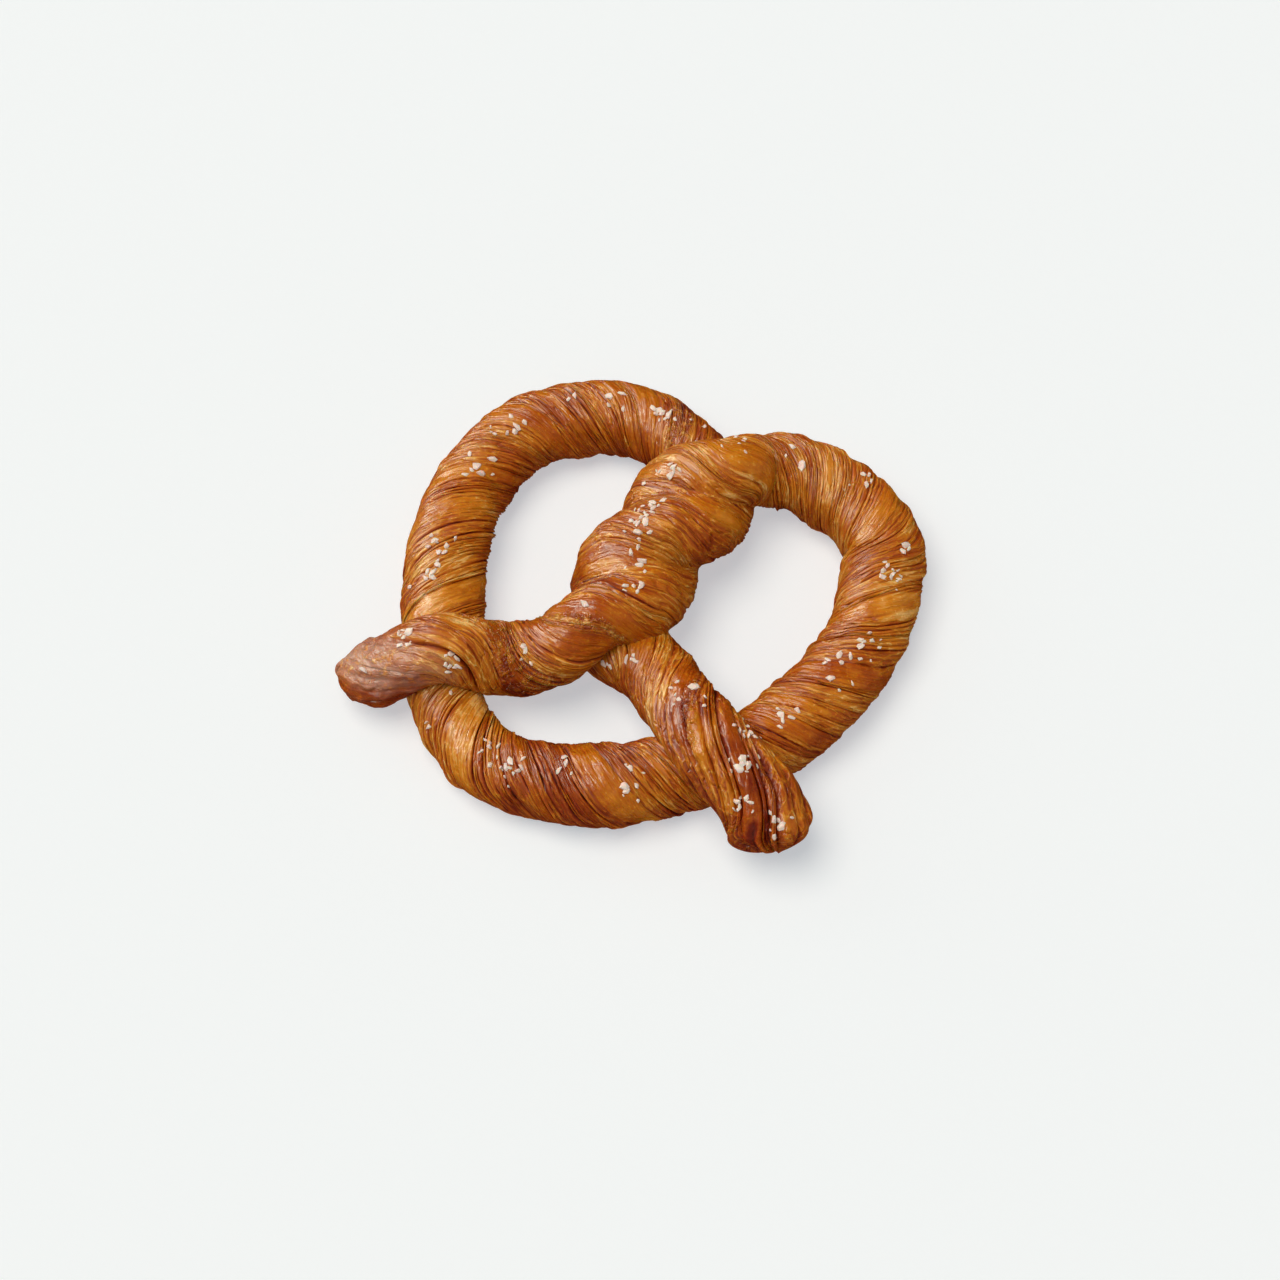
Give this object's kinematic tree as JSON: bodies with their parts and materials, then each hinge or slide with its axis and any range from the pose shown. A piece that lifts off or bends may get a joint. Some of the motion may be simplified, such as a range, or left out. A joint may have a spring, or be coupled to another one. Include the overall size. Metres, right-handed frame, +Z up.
{
  "type": "croissant pretzel",
  "caption": "Baked pretzel of twisted layered croissant dough: a rope knotted into two loops with crossed ends, ridged golden-brown crust and coarse salt.",
  "frame": {"origin": "middle of the underside, on the surface the pretzel lies on", "axes": "+Z up, +Y towards the tops of the two loops, +X to the right across the loops"},
  "size_m": [0.1535, 0.1419, 0.0351],
  "materials": {
    "crust": "glazed golden-brown flaky crust, satin to glossy, darker in the grooves between its layers",
    "salt": "coarse off-white pretzel salt, slightly translucent"
  },
  "bodies": {
    "root": {"pretzel": "crust"}
  },
  "joints": []
}
